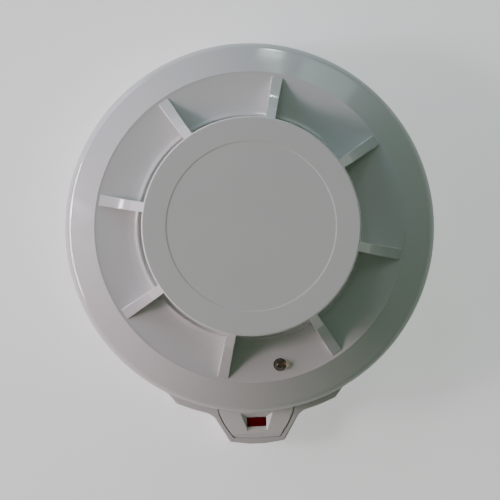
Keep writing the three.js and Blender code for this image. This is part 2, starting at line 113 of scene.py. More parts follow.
def rounded(corners, closed=True, step=math.radians(15)):
    """Corners of (x, y, radius): each one with a radius becomes an arc of that radius."""
    points = []
    count = len(corners)
    for i, (x, y, radius) in enumerate(corners):
        here = Vector((x, y))
        if radius == 0 or (not closed and i in (0, count - 1)):
            points.append((x, y))
            continue
        before = (Vector(corners[i - 1][:2]) - here).normalized()
        after = (Vector(corners[(i + 1) % count][:2]) - here).normalized()
        half = before.angle(after) / 2
        bisector = (before + after).normalized()
        centre = here + bisector * (radius / math.sin(half))
        start = here + before * (radius / math.tan(half)) - centre
        turn = (math.pi - 2 * half) * (1 if before.cross(after) < 0 else -1)
        steps = max(2, math.ceil(abs(turn) / step))
        for k in range(steps + 1):
            spoke = Matrix.Rotation(turn * k / steps, 2) @ start
            points.append(tuple(centre + spoke))
    return points


def curve_through(points, steps=5):
    """A smooth run of points through the given ones, without the last."""
    run = []
    for i in range(len(points) - 1):
        p0, p1, p2, p3 = (Vector(points[min(max(i + k, 0), len(points) - 1)]) for k in (-1, 0, 1, 2))
        for k in range(steps):
            t = k / steps
            a = 2 * p1 + (p2 - p0) * t
            b = (2 * p0 - 5 * p1 + 4 * p2 - p3) * t**2
            c = (3 * p1 - p0 - 3 * p2 + p3) * t**3
            run.append(tuple((a + b + c) / 2))
    return run


def along(points, x):
    """The height at x of a line of points given from low x to high x."""
    for (x0, y0), (x1, y1) in zip(points, points[1:]):
        if x <= x1:
            return y0 + (y1 - y0) * (x - x0) / (x1 - x0)
    return points[-1][1]


def arc_points(radius, start, end, steps):
    turns = [start + (end - start) * k / steps for k in range(steps + 1)]
    return [(radius * math.cos(t), radius * math.sin(t)) for t in turns]


def inset(outline, distance):
    """A closed counter-clockwise outline moved inwards."""
    moved = []
    for i, point in enumerate(outline):
        before, after = Vector(outline[i - 1]), Vector(outline[(i + 1) % len(outline)])
        tangent = (after - before).normalized()
        moved.append((point[0] - tangent.y * distance, point[1] + tangent.x * distance))
    return moved


# ---------------------------------------------------------------- meshes


def make_object(name, verts, faces):
    mesh = bpy.data.meshes.new(name)
    mesh.from_pydata([Vector(v) * MM for v in verts], [], faces)
    mesh.validate()
    obj = bpy.data.objects.new(name, mesh)
    bpy.context.scene.collection.objects.link(obj)
    return obj


def loft(name, loops):
    """A closed body through loops of equal length, capped at both ends."""
    size = len(loops[0])
    verts = [point for loop in loops for point in loop]
    faces = []
    for i in range(len(loops) - 1):
        for k in range(size):
            n = (k + 1) % size
            faces.append((i * size + k, i * size + n, (i + 1) * size + n, (i + 1) * size + k))
    faces.append(tuple(reversed(range(size))))
    faces.append(tuple((len(loops) - 1) * size + k for k in range(size)))
    return make_object(name, verts, faces)


def revolve(name, profile, segments=FINE):
    """A closed body from a counter-clockwise profile of (radius, height) about Z.
    A profile whose first and last points are on the axis meets it there."""
    solid = profile[0][0] == 0
    ring = profile[1:-1] if solid else profile
    size = len(ring)
    verts = []
    for s in range(segments):
        turn = 2 * math.pi * s / segments
        verts += [(r * math.cos(turn), r * math.sin(turn), z) for r, z in ring]
    faces = []
    for s in range(segments):
        a, b = s * size, ((s + 1) % segments) * size
        for k in range(size - 1 if solid else size):
            n = (k + 1) % size
            faces.append((a + k, b + k, b + n, a + n))
    if solid:
        verts += [(0, 0, profile[0][1]), (0, 0, profile[-1][1])]
        low, high = len(verts) - 2, len(verts) - 1
        for s in range(segments):
            a, b = s * size, ((s + 1) % segments) * size
            faces.append((low, b, a))
            faces.append((high, a + size - 1, b + size - 1))
    return make_object(name, verts, faces)


def slab(name, outline, z0, z1, low_round=0.0, high_round=0.0, steps=3):
    """An upright body on a counter-clockwise outline, with its lower and upper edges rounded."""
    levels = []
    if low_round:
        turns = [math.pi / 2 * k / steps for k in range(steps)]
        levels += [(low_round * (1 - math.sin(t)), z0 + low_round * (1 - math.cos(t))) for t in turns]
    levels.append((0, z0 + low_round))
    levels.append((0, z1 - high_round))
    if high_round:
        turns = [math.pi / 2 * (k + 1) / steps for k in range(steps)]
        levels += [(high_round * (1 - math.cos(t)), z1 - high_round * (1 - math.sin(t))) for t in turns]
    return loft(name, [[(x, y, z) for x, y in inset(outline, d)] for d, z in levels])


def rod(name, radius, z0, z1, at=(0, 0), segments=32):
    outline = [(at[0] + x, at[1] + y) for x, y in arc_points(radius, 0, 2 * math.pi, segments)[:-1]]
    return slab(name, outline, z0, z1)


def block(name, width, depth, z0, z1, at, round_r=0.0):
    """An upright bar of a rounded rectangle."""
    (x, y), u, v = at, width / 2, depth / 2
    corners = [(x - u, y - v), (x + u, y - v), (x + u, y + v), (x - u, y + v)]
    return slab(name, rounded([(*corner, round_r) for corner in corners], step=math.radians(30)), z0, z1)


def sector(name, inner, outer, z0, z1, start, end):
    """Part of a ring between two angles."""
    steps = max(3, math.ceil(math.degrees(end - start) / 2))
    back = arc_points(inner, start, end, steps)
    return slab(name, [*arc_points(outer, start, end, steps), *reversed(back)], z0, z1)


def merge(name, objects):
    """Puts separate bodies into the first object's mesh, which gets the name."""
    verts, faces = [], []
    for obj in objects:
        start = len(verts)
        verts += [vert.co / MM for vert in obj.data.vertices]
        faces += [[start + v for v in face.vertices] for face in obj.data.polygons]
    first = objects[0]
    for obj in objects[1:]:
        mesh = obj.data
        bpy.data.objects.remove(obj)
        bpy.data.meshes.remove(mesh)
    first.data.clear_geometry()
    first.data.from_pydata([Vector(v) * MM for v in verts], [], faces)
    first.name = name
    first.data.name = name
    return first


def combine(obj, others, operation):
    """Joins or cuts obj by the others, and leaves one clean body."""
    for other in others:
        step = obj.modifiers.new("step", "BOOLEAN")
        step.solver = "MANIFOLD"
        step.operation = operation
        step.object = other
    graph = bpy.context.evaluated_depsgraph_get()
    made = bpy.data.meshes.new_from_object(obj.evaluated_get(graph))
    old = obj.data
    obj.modifiers.clear()
    obj.data = made
    bpy.data.meshes.remove(old)
    made.name = obj.name
    for other in others:
        mesh = other.data
        bpy.data.objects.remove(other)
        bpy.data.meshes.remove(mesh)
    return obj


def turned(obj, angle):
    """Turns a mesh about Z."""
    obj.data.transform(Matrix.Rotation(angle, 4, "Z"))
    return obj


def shade(obj, sharp=32):
    """Smooth shading in which large faces stay true and the roundings between them take up the turn."""
    obj.data.shade_smooth()
    obj.data.set_sharp_from_angle(angle=math.radians(sharp))
    weighted = obj.modifiers.new("weighted_normals", "WEIGHTED_NORMAL")
    weighted.keep_sharp = True
    return obj


def soften(obj, width, angle):
    """Rounds every edge sharper than an angle."""
    bevel = obj.modifiers.new("soften", "BEVEL")
    bevel.width = width * MM
    bevel.segments = 2
    bevel.limit_method = "ANGLE"
    bevel.angle_limit = math.radians(angle)


def dress(obj, body, material):
    """Finishes a piece: shading, material, and the body that it rides on."""
    shade(obj)
    obj.data.materials.clear()
    obj.data.materials.append(material)
    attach(obj, body)
    return obj


def piece(obj, body, slot, material, *nodes):
    """Finishes a piece that stands for CAD nodes."""
    dress(obj, body, material)
    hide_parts(*nodes)
    return obj


# ---------------------------------------------------------------- materials


SOCKETS = {
    "color": "Base Color",
    "roughness": "Roughness",
    "metallic": "Metallic",
    "coat": "Coat Weight",
    "ior": "IOR",
    "transmission": "Transmission Weight",
    "specular": "Specular IOR Level",
}


class Shader:
    """A material's node tree, with short ways to add the nodes used here."""

    def __init__(self, name):
        self.material = bpy.data.materials.new(name)
        self.material.use_nodes = True
        self.tree = self.material.node_tree
        self.bsdf = self.tree.nodes["Principled BSDF"]
        self.place = self.add("ShaderNodeTexCoord").outputs["Object"]

    def add(self, kind, **values):
        node = self.tree.nodes.new(kind)
        for key, value in values.items():
            setattr(node, key, value)
        return node

    def link(self, output, socket):
        self.tree.links.new(output, socket)

    def noise(self, per_mm, detail=3.0, roughness=0.5):
        """Noise with the given number of cells in a millimetre."""
        node = self.add("ShaderNodeTexNoise")
        node.inputs["Scale"].default_value = per_mm / MM
        node.inputs["Detail"].default_value = detail
        node.inputs["Roughness"].default_value = roughness
        self.link(self.place, node.inputs["Vector"])
        return node.outputs["Fac"]

    def ramp(self, value, low, high, low_to, high_to):
        node = self.add("ShaderNodeMapRange")
        node.inputs["From Min"].default_value = low
        node.inputs["From Max"].default_value = high
        node.inputs["To Min"].default_value = low_to
        node.inputs["To Max"].default_value = high_to
        self.link(value, node.inputs["Value"])
        return node.outputs["Result"]

    def mix(self, share, a, b):
        """A colour between a and b: each is a colour or another node's output."""
        node = self.add("ShaderNodeMix", data_type="RGBA")
        self.link(share, node.inputs["Factor"])
        for socket, value in ((node.inputs[6], a), (node.inputs[7], b)):
            if isinstance(value, bpy.types.NodeSocket):
                self.link(value, socket)
            else:
                socket.default_value = (*value, 1)
        return node.outputs[2]

    def times(self, a, b):
        node = self.add("ShaderNodeMath", operation="MULTIPLY")
        self.link(a, node.inputs[0])
        self.link(b, node.inputs[1])
        return node.outputs[0]

    def bump(self, height, depth_mm, strength=1.0, below=None):
        node = self.add("ShaderNodeBump")
        node.inputs["Distance"].default_value = depth_mm * MM
        node.inputs["Strength"].default_value = strength
        self.link(height, node.inputs["Height"])
        if below is not None:
            self.link(below, node.inputs["Normal"])
        return node.outputs["Normal"]

    def specks(self, per_mm, size, share):
        """1 inside sparse round specks: size is in cells, share is the part of the cells that has one."""
        cells = self.add("ShaderNodeTexVoronoi", feature="F1")
        cells.inputs["Scale"].default_value = per_mm / MM
        self.link(self.place, cells.inputs["Vector"])
        near = self.ramp(cells.outputs["Distance"], size * 0.6, size, 1, 0)
        split = self.add("ShaderNodeSeparateColor")
        self.link(cells.outputs["Color"], split.inputs["Color"])
        chosen = self.ramp(split.outputs["Red"], 1 - share, 1 - share + 0.001, 0, 1)
        return self.times(near, chosen)

    def set(self, **values):
        for key, value in values.items():
            socket = self.bsdf.inputs[SOCKETS[key]]
            if isinstance(value, bpy.types.NodeSocket):
                self.link(value, socket)
            else:
                socket.default_value = (*value, 1) if isinstance(value, tuple) else value
        return self

    def normal(self, output):
        self.link(output, self.bsdf.inputs["Normal"])
        return self


def moulded_white(name, tint, roughness, grime):
    """Glossy injection-moulded white: faint flow, slow sink waves, fine orange peel and specks."""
    s = Shader(name)
    flow = s.ramp(s.noise(0.035, 2), 0.3, 0.7, 0, 1)
    darker = tuple(c * 0.975 for c in tint)
    base = s.mix(flow, darker, tint)
    dust = s.specks(0.16, 0.09, grime)
    base = s.mix(dust, base, (0.16, 0.12, 0.08))
    wear = s.ramp(s.noise(0.3, 4, 0.6), 0.35, 0.75, roughness, roughness + 0.06)
    s.set(color=base, roughness=wear, ior=1.5)
    waves = s.bump(s.noise(0.14, 1), 0.009)
    return s.normal(s.bump(s.noise(0.9, 2), 0.0025, 1.0, waves)).material


def textured_white(name, tint):
    """Matt white with a fine spark-eroded grain, faint stains and a few specks."""
    s = Shader(name)
    flow = s.ramp(s.noise(0.05, 3), 0.3, 0.7, 0, 1)
    base = s.mix(flow, tuple(c * 0.965 for c in tint), tint)
    base = s.mix(s.specks(0.13, 0.07, 0.12), base, (0.12, 0.085, 0.05))
    grain = s.noise(3.2, 3, 0.65)
    s.set(color=base, roughness=s.ramp(grain, 0.3, 0.7, 0.48, 0.62), ior=1.48)
    fine = s.bump(grain, 0.035, 0.7)
    return s.normal(s.bump(s.noise(0.8, 2), 0.05, 0.35, fine)).material


def epoxy_with_painted_shade(name):
    s = Shader(name)
    # The brown tint is painted shade: it darkens the clear lens to stand in for the dark hole seen through
    # it.
    s.set(color=(0.52, 0.35, 0.23), roughness=0.03, ior=1.53, transmission=1.0)
    return s.normal(s.bump(s.noise(0.7, 2), 0.01)).material


def red_epoxy(name):
    s = Shader(name)
    depth = s.ramp(s.noise(0.4, 2), 0.3, 0.7, 0, 1)
    s.set(color=s.mix(depth, (0.11, 0.0, 0.001), (0.14, 0.0, 0.002)), roughness=0.4, ior=1.45, specular=0.06)
    return s.normal(s.bump(s.noise(1.2, 2), 0.012)).material


def metal(name, tint, roughness, brushed=1.5):
    s = Shader(name)
    streak = s.noise(brushed, 4, 0.65)
    base = s.mix(streak, tuple(c * 0.8 for c in tint), tint)
    s.set(color=base, metallic=1.0, roughness=s.ramp(streak, 0.3, 0.7, roughness - 0.05, roughness + 0.1))
    return s.normal(s.bump(streak, 0.012)).material


def plain_plastic(name, tint, roughness, grain=2.0, depth=0.02):
    s = Shader(name)
    mottle = s.noise(grain, 3, 0.6)
    base = s.mix(mottle, tuple(c * 0.82 for c in tint), tint)
    s.set(color=base, roughness=s.ramp(mottle, 0.3, 0.7, roughness - 0.06, roughness + 0.06))
    return s.normal(s.bump(mottle, depth)).material


def board_green(name):
    """Solder resist over copper tracks, which show as slightly lighter raised lines."""
    s = Shader(name)
    tracks = s.add("ShaderNodeTexBrick", offset=0.5, squash=1.0)
    tracks.inputs["Scale"].default_value = 0.11 / MM
    tracks.inputs["Mortar Size"].default_value = 0.05
    tracks.inputs["Mortar Smooth"].default_value = 0.2
    s.link(s.place, tracks.inputs["Vector"])
    line = tracks.outputs["Fac"]
    base = s.mix(line, (0.012, 0.085, 0.032), (0.03, 0.17, 0.06))
    base = s.mix(s.ramp(s.noise(0.6, 3), 0.35, 0.7, 0, 0.35), base, (0.01, 0.06, 0.025))
    s.set(color=base, roughness=0.32, coat=0.25)
    return s.normal(s.bump(line, 0.035)).material


WHITE = (0.74, 0.735, 0.72)
MATERIALS = {
    "case": moulded_white("case_plastic", WHITE, 0.09, 0.03),
    "base": moulded_white("base_plastic", (0.72, 0.71, 0.7), 0.22, 0.03),
    "cover": moulded_white("cover_plastic", (0.84, 0.845, 0.81), 0.22, 0.03),
    "cap": textured_white("cap_plastic", (0.8, 0.795, 0.765)),
    "guard": moulded_white("guard_plastic", (0.7, 0.7, 0.69), 0.35, 0.0),
    "clear": epoxy_with_painted_shade("epoxy_with_painted_shade"),
    "red": red_epoxy("red_epoxy"),
    "steel": metal("stainless_steel", (0.62, 0.61, 0.59), 0.26),
    "brass": metal("brass", (0.72, 0.5, 0.2), 0.28),
    "tin": metal("tinned_lead", (0.7, 0.7, 0.69), 0.3, 2.5),
    "board": board_green("circuit_board_resist"),
    "black": plain_plastic("black_moulding", (0.022, 0.022, 0.024), 0.45),
    "bead": plain_plastic("thermistor_resin", (0.035, 0.028, 0.022), 0.25, 1.5, 0.01),
    "blue": plain_plastic("dipped_blue", (0.03, 0.11, 0.34), 0.4, 1.2, 0.04),
    "foam": plain_plastic("closed_cell_foam", (0.06, 0.063, 0.066), 0.85, 3.5, 0.08),
}


# ---------------------------------------------------------------- base and tab

TAB_ANGLE = -math.pi / 2
SHOULDER_R = 52.5
COVER_BOW = [(-0.6, -51.5), (-1.9, -54.2), (-3.2, -56.2)]  # the cover's side, inwards from its top corner
LEDGE_IN_R = 44.9
LEDGE_Z = 5.6
LUG_HALF = math.radians(6)
TWIST = math.radians(15)


def at_tab(radius, degrees):
    """A point at a radius, an angle away from the tab's axis."""
    turn = TAB_ANGLE + math.radians(degrees)
    return radius * math.cos(turn), radius * math.sin(turn)


def base_outline():
    """The wall's circle, the wider shoulders and the tab, counter-clockwise from the tab's end."""
    end = [(2.2, BASE_LOW.y, 2), (7.6, BASE_LOW.y + 0.75, 0.8), (11.7, -51.9, 1.2)]
    turns = [(14.5, 0.8), (19.5, 0), (24.8, 0.8)]
    shoulder = [(*at_tab(SHOULDER_R, degrees), radius) for degrees, radius in turns]
    right = [*end, *shoulder, (*at_tab(BASE_R, 28.5), 1.5)]
    from_tab = math.radians(30.5)
    wall = arc_points(BASE_R, TAB_ANGLE + from_tab, TAB_ANGLE + 2 * math.pi - from_tab, 180)
    left = [(-x, y, r) for x, y, r in reversed(right)]
    return rounded([*right, *((x, y, 0) for x, y in wall), *left])


def cover_outline(margin, end_margin):
    """The tab cover with its bowed sides, grown by a margin, which is its own at the tab's end."""
    top, end = COVER_HIGH.y + margin, COVER_LOW.y + 0.25 - end_margin
    wide, narrow = COVER_HIGH.x + margin, 6.2 + margin
    bow = [(wide + x, y) for x, y in COVER_BOW]
    side = curve_through([(wide, top), *bow, (narrow, end)], 4)[1:]
    right = [(narrow, end, 0.4), *((x, y, 0) for x, y in reversed(side)), (wide, top, 0.3)]
    left = [(-x, y, r) for x, y, r in reversed(right)]
    return rounded([(0, end - 0.25, 0), *right, *left])


def ledges_and_stops():
    """The three bayonet ledges, each with a stop for the locked lug and one where it comes free."""
    outer = WALL_IN_R + 0.5
    play, width = math.radians(1), math.radians(3)
    made = []
    for k in range(3):
        middle = math.pi / 2 + k * 2 * math.pi / 3
        half = math.radians(7)
        made.append(sector("ledge", LEDGE_IN_R, outer, LEDGE_Z, LEDGE_Z + 2, middle - half, middle + half))
        for start in (middle - LUG_HALF - play - width, middle + LUG_HALF + TWIST + play):
            made.append(sector("stop", LEDGE_IN_R, outer, 1, LEDGE_Z - 0.4, start, start + width))
    return made


def back_relief():
    """Shallow moulding pockets round the base's back, between ribs, and one behind the tab."""
    pockets = []
    ribs = 24
    for k in range(ribs):
        start = TAB_ANGLE + (k + 0.08) * 2 * math.pi / ribs
        end = TAB_ANGLE + (k + 0.92) * 2 * math.pi / ribs
        pockets.append(sector("pocket", 40.5, 47.5, -1, 0.8, start, end))
    behind_tab = [(-6.6, -57.6), (6.6, -57.6), (9.6, -52.4), (-9.6, -52.4)]
    pockets.append(slab("pocket", rounded([(x, y, 0.8) for x, y in behind_tab]), -1, 1))
    return pockets


def mounting_base():
    body = slab("base_moulding", base_outline(), 0, BASE_TOP, 0.3, 0.45)
    above = BASE_TOP + 4
    bowl = [(0, FLOOR_TOP, 0), (WALL_IN_R, FLOOR_TOP, 0.8), (WALL_IN_R, above, 0), (0, above, 0)]
    led = centre_of("indicator_led")
    well = [(-5.5, led.y - 3.5), (5.5, led.y - 3.5), (5.5, led.y + 3.5), (-5.5, led.y + 3.5)]
    seat_z = COVER_LOW.z - CLEAR
    hollows = [
        revolve("bowl", rounded(bowl, closed=False)),
        slab("seat", cover_outline(0.34, 0.06), seat_z, above),
        slab("well", well, FLOOR_TOP, above),
    ]
    combine(body, hollows, "DIFFERENCE")
    terminals = [centre_of(name) for name in numbered("terminal_screw")]
    platforms = [
        turned(block("platform", 12, 10, 1, 3.5, (28, 0), 0.6), math.atan2(at.y, at.x)) for at in terminals
    ]
    combine(body, [*platforms, *ledges_and_stops()], "UNION")
    holes = [rod("hole", 2, 1, 5, (at.x, at.y)) for at in terminals]
    entry_r, bridge_half = 15, 6
    start = math.asin(bridge_half / entry_r)
    entry = rounded([(x, y, 0.0) for x, y in arc_points(entry_r, start, math.pi - start, 40)])
    for turn in (0, math.pi):
        holes.append(turned(slab("entry", entry, -1, FLOOR_TOP + 1), turn))
        near, far, slot_r = 25, 30, 2
        near_end = [(near + x, y) for x, y in arc_points(slot_r, math.pi / 2, 1.5 * math.pi, 12)]
        far_end = [(far + x, y) for x, y in arc_points(slot_r, -math.pi / 2, math.pi / 2, 12)]
        holes.append(turned(slab("slot", [*near_end, *far_end], -1, FLOOR_TOP + 1), turn))
    combine(body, [*holes, *back_relief()], "DIFFERENCE")
    return piece(body, "base", "white_gloss", MATERIALS["base"], "mounting_base")


def tab_cover():
    """The plate with its bevelled pocket, a soft slope at its outer end and a groove along the skirt."""
    cover = slab("tab_cover_plate", cover_outline(0, 0), COVER_LOW.z, COVER_HIGH.z, 0, 0.2)
    led = centre_of("indicator_led")
    half_w = (TAB_LED_HIGH.x - TAB_LED_LOW.x) / 2 + 0.07
    half_d = (TAB_LED_HIGH.y - TAB_LED_LOW.y) / 2 + 0.07
    low_y, high_y = led.y - half_d, led.y + half_d
    mouth = [(-2.8, led.y - 2.4), (2.8, led.y - 2.4), (4.4, led.y + 2.6), (-4.4, led.y + 2.6)]
    throat = [(-half_w, low_y), (half_w, low_y), (half_w, high_y), (-half_w, high_y)]
    above, depth = 0.3, 1.0
    flared = [(x + (x - u) * above, y + (y - v) * above) for (x, y), (u, v) in zip(mouth, throat)]
    levels = [(throat, COVER_HIGH.z - depth), (flared, COVER_HIGH.z + above * depth)]
    pocket = loft("pocket", [[(x, y, z) for x, y in outline] for outline, z in levels])
    through = slab("through", throat, COVER_LOW.z - 1, COVER_HIGH.z)
    end = COVER_LOW.y
    fall = [(1.5, 0.03), (1.2, -0.02), (0.8, -0.14), (0.4, -0.3), (-0.5, -0.5)]
    slope = [*((end + y, COVER_HIGH.z + z) for y, z in fall), (end - 0.5, 9), (end + 1.5, 9)]
    wedge = loft("slope", [[(x, y, z) for y, z in slope] for x in (9, -9)])
    groove_z = COVER_HIGH.z - 0.7
    groove = sector("groove", HEAD_R + 0.05, HEAD_R + 0.8, groove_z, 9, TAB_ANGLE - 0.3, TAB_ANGLE + 0.3)
    combine(cover, [pocket, through, wedge, groove], "DIFFERENCE")
    soften(cover, 0.08, 30)
    return piece(cover, "base", "white_gloss", MATERIALS["cover"], "tab_cover")


def indicator_led():
    low, high = TAB_LED_LOW, TAB_LED_HIGH
    corners = [(low.x, low.y, 0.35), (high.x, low.y, 0.35), (high.x, high.y, 0.35), (low.x, high.y, 0.35)]
    window = slab("indicator_window", rounded(corners), low.z, high.z, 0, 0.3, 4)
    return piece(window, "base", "red_lens", MATERIALS["red"], "indicator_led")


# ---------------------------------------------------------------- case, cap and guard

# The trough's surface in section, from the shoulder in to the lip.
TROUGH = [
    (41.45, 26.2), (40.8, 26.1), (38, 25.93), (35, 25.8), (33, 25.73), (32, 25.76), (31.2, 25.83),
    (30.7, 25.97), (30.35, 26.16), (30.1, 26.28), (29.9, 26.32), (29.7, 26.2), (29.4, DECK_Z),
]
VANE_END_R = 40.6
VANE_INNER_R = 25.6


def case_profile():
    outside = [
        (47.8, SKIRT_Z, 0.2), (HEAD_R, SKIRT_Z, 0.45), (49.55, 21.4, 0.4), (48.45, 22.5, 4),
        (*TROUGH[0], 0.35),
    ]
    trough = [(r, z, 0) for r, z in curve_through(TROUGH, 6)[1:]]
    under = DECK_Z - 2
    inside = [
        (29.3, DECK_Z, 0), (3.6, DECK_Z, 0.4), (3.6, under, 0.2), (32, under, 2), (34, under - 0.2, 2),
        (41.5, under - 0.2, 2), (46, 20.8, 1.5), (46, 13.6, 0), (47.8, 13.6, 0.3),
    ]
    return rounded([*outside, *trough, *inside], step=math.radians(9))


def vane(angle):
    """One vane: it leaves the shoulder at a low slope, then bends steeply up under the cap."""
    corners = [
        (VANE_INNER_R, VANE_TOP, 0), (28.2, VANE_TOP, 0), (32, 31, 1.5), (34.9, 28.33, 14),
        (VANE_END_R, 26.2, 0.1), (VANE_END_R + 0.05, 25.2, 0),
    ]
    line = rounded(corners, closed=False, step=math.radians(4))
    steep = [(x, along(line, x)) for x in (28.3 + 0.35 * k for k in range(7))]
    loops = []
    edge = 0.22
    for x, top in sorted({*line, *steep}):
        half = (2.5 + 0.6 * min(max((x - 28) / 13, 0), 1)) / 2
        turns = [math.pi / 8 * k for k in range(5)]
        crest = [(half - edge + edge * math.cos(t), top - edge + edge * math.sin(t)) for t in turns]
        right = [(half, DECK_Z - 1), *crest]
        left = [(-y, z) for y, z in reversed(right)]
        loops.append([(x, y, z) for y, z in [*right, *left]])
    return turned(loft("vane", loops), angle)


def outer_case():
    shell = revolve("case_moulding", case_profile())
    first = LED_ANGLE + math.pi / VANES
    keys = [
        sector("key", 46.2, 48.3, 9, 12, angle - math.radians(2), angle + math.radians(2))
        for angle in (HEAD_TURN + math.radians(30 + 120 * k) for k in range(3))
    ]
    combine(shell, [*keys, *(vane(first + k * 2 * math.pi / VANES) for k in range(VANES))], "UNION")
    led = Matrix.Rotation(LED_ANGLE, 3, "Z") @ Vector((LED_RING_R, 0, 0))
    combine(shell, [rod("hole", LED_R + 0.22, 20, 28, (led.x, led.y), 40)], "DIFFERENCE")
    return piece(shell, "case", "white_gloss", MATERIALS["case"], "outer_case")


def top_cap():
    """The matt cap: its recessed disc is a soft step, its edge is rounded over."""
    radius, top = CAP_HIGH.x - 0.35, CAP_TOP
    corners = [
        (0, top - 2, 0), (25.4, top - 2, 0.8), (26.4, CAP_SKIRT_Z, 0.25), (CAP_HIGH.x, CAP_SKIRT_Z, 0.3),
        (radius, top, 0.45), (21.8, top, 0.2), (21.45, top - 0.09, 0.2), (0, top - 0.09, 0),
    ]
    cap = revolve("cap_moulding", rounded(corners, closed=False, step=math.radians(4)))
    return piece(cap, "case", "white_matt", MATERIALS["cap"], "top_cap")


def sensor_guard():
    inner, outer, rim = 23.0, 25.0, 1.5
    middle_z = (GUARD_LOW.z + GUARD_HIGH.z - rim) / 2
    rims = []
    for z in (GUARD_LOW.z, middle_z, GUARD_HIGH.z - rim):
        corners = [(inner, z, 0.3), (outer, z, 0.3), (outer, z + rim, 0.3), (inner, z + rim, 0.3)]
        rims.append(revolve("guard_bars", rounded(corners, step=math.radians(30)), 160))
    bars = 20
    low, high = GUARD_LOW.z + rim / 2, GUARD_HIGH.z - rim / 2
    turns = [HEAD_TURN + k * 2 * math.pi / bars for k in range(bars)]
    upright = [turned(block("bar", 1.4, 1.3, low, high, (24, 0), 0.3), turn) for turn in turns]
    guard = combine(rims[0], [*rims[1:], *upright], "UNION")
    return piece(guard, "case", "white_gloss", MATERIALS["guard"], "sensor_guard")


# ---------------------------------------------------------------- head, back half


def back_plate():
    """The inner moulding: disc, bayonet ring with its lugs, screw posts, and a ribbed underside."""
    low, high = box_mm("back_plate")
    radius, disc_z, disc_top = high.x, 10, 12
    edge = [(0, disc_z, 0), (radius, disc_z, 0.3), (radius, disc_top, 0.3), (0, disc_top, 0)]
    plate = revolve("back_plate_moulding", rounded(edge, closed=False))
    skirt = [(41.9, low.z, 0.2), (44.3, low.z, 0.4), (44.3, disc_z + 1, 0), (41.9, disc_z + 1, 0)]
    added = [revolve("lug_ring", rounded(skirt))]
    for k in range(3):
        middle = math.pi / 2 + k * 2 * math.pi / 3
        added.append(sector("lug", 43, 47, low.z, LEDGE_Z - 0.4, middle - LUG_HALF, middle + LUG_HALF))
    screws = [centre_of(name) for name in numbered("board_screw")]
    added += [rod("post", 3, disc_top - 0.5, BOARD_LOW.z - CLEAR, (at.x, at.y)) for at in screws]
    ribs = 12
    for k in range(ribs):
        rib = block("rib", 19, 1.2, disc_z - 0.8, disc_z + 0.5, (16, 0), 0.3)
        added.append(turned(rib, k * 2 * math.pi / ribs))
    hub = [(5.4, disc_z - 0.8, 0.2), (6.8, disc_z - 0.8, 0.2), (6.8, disc_z + 0.5, 0), (5.4, disc_z + 0.5, 0)]
    added.append(revolve("hub", rounded(hub), 64))
    combine(plate, added, "UNION")
    rivets = [centre_of(name) for name in numbered("blade_rivet")]
    removed = [rod("hole", 1.4, disc_z - 1, disc_top + 1, (at.x, at.y)) for at in rivets]
    removed += [rod("hole", 1.5, disc_z + 0.8, BOARD_LOW.z, (at.x, at.y)) for at in screws]
    half = math.radians(2.6)
    for k in range(3):
        key = HEAD_TURN + math.radians(30 + 120 * k)
        removed.append(sector("notch", 46, radius + 1, disc_z - 1, disc_top + 1, key - half, key + half))
    combine(plate, removed, "DIFFERENCE")
    return piece(plate, "head", "white_gloss", MATERIALS["base"], "back_plate")


def circuit_board():
    board = rod("circuit_board_panel", BOARD_HIGH.x, BOARD_LOW.z, BOARD_TOP, segments=160)
    holes = [(name, 1.4) for name in numbered("blade_rivet")]
    holes += [(name, 1.6) for name in numbered("board_screw")]
    drills = []
    for name, radius in holes:
        at = centre_of(name)
        drills.append(rod("drill", radius, BOARD_LOW.z - 1, BOARD_TOP + 1, (at.x, at.y), 24))
    combine(board, drills, "DIFFERENCE")
    soften(board, 0.12, 40)
    return piece(board, "head", "board", MATERIALS["board"], "circuit_board")


def small_parts():
    """Chip resistors and capacitors in rows on the board, with tinned end caps."""
    rows = [(12, 205, 6), (20, 150, 5), (19, 235, 7), (27, 105, 5), (27, 315, 6), (31, 40, 4)]
    bodies, ends = [], []
    for radius, start, count in rows:
        for k in range(count):
            degrees = start + k * 210 / radius
            turn = HEAD_TURN + math.radians(degrees)
            chip = block("chip", 1.9, 1.2, BOARD_TOP, BOARD_TOP + 0.55, (radius, 0), 0.08)
            bodies.append(turned(chip, turn))
            for side in (-1, 1):
                cap = block("end", 0.5, 1.3, BOARD_TOP, BOARD_TOP + 0.6, (radius + side * 0.95, 0), 0.1)
                ends.append(turned(cap, turn))
    merge("chip_components", bodies)
    merge("chip_end_caps", ends)
    dress(bodies[0], "head", MATERIALS["black"])
    dress(ends[0], "head", MATERIALS["tin"])


def flat_package(node, name, width, depth, height, legs, slot_name):
    """A chip package with a pin-one dimple, on two rows of bent legs."""
    at = centre_of(node)
    turn = math.atan2(at.y, at.x)
    radius = math.hypot(at.x, at.y)
    body = block(name, width, depth, ON_BOARD + 0.1, ON_BOARD + height, (radius, 0), 0.2)
    top, corner = ON_BOARD + height, (radius - width / 2 + 1, depth / 2 - 1)
    dimple = rod("dimple", 0.4, top - 0.12, top + 1, corner, 20)
    combine(body, [dimple], "DIFFERENCE")
    soften(body, 0.08, 40)
    turned(body, turn)
    piece(body, "head", slot_name, MATERIALS["black"], node)
    bent = [(-0.2, 0.65), (0.25, 0.65), (0.38, 0.5), (0.45, 0.12), (0.8, 0.1)]
    leads = []
    for side in (-1, 1):
        for k in range(legs):
            y = (k - (legs - 1) / 2) * (depth - 1) / legs
            loops = []
            for out, rise in bent:
                x = radius + side * (width / 2 + out)
                z = ON_BOARD + rise
                half_w, half_t = 0.2, 0.1
                corners = [(-half_w, -half_t), (half_w, -half_t), (half_w, half_t), (-half_w, half_t)]
                loops.append([(x, y + u, z + v) for u, v in corners])
            if side < 0:
                loops.reverse()
            leads.append(loft("leg", loops))
    merge(name + "_legs", leads)
    turned(leads[0], turn)
    dress(leads[0], "head", MATERIALS["tin"])


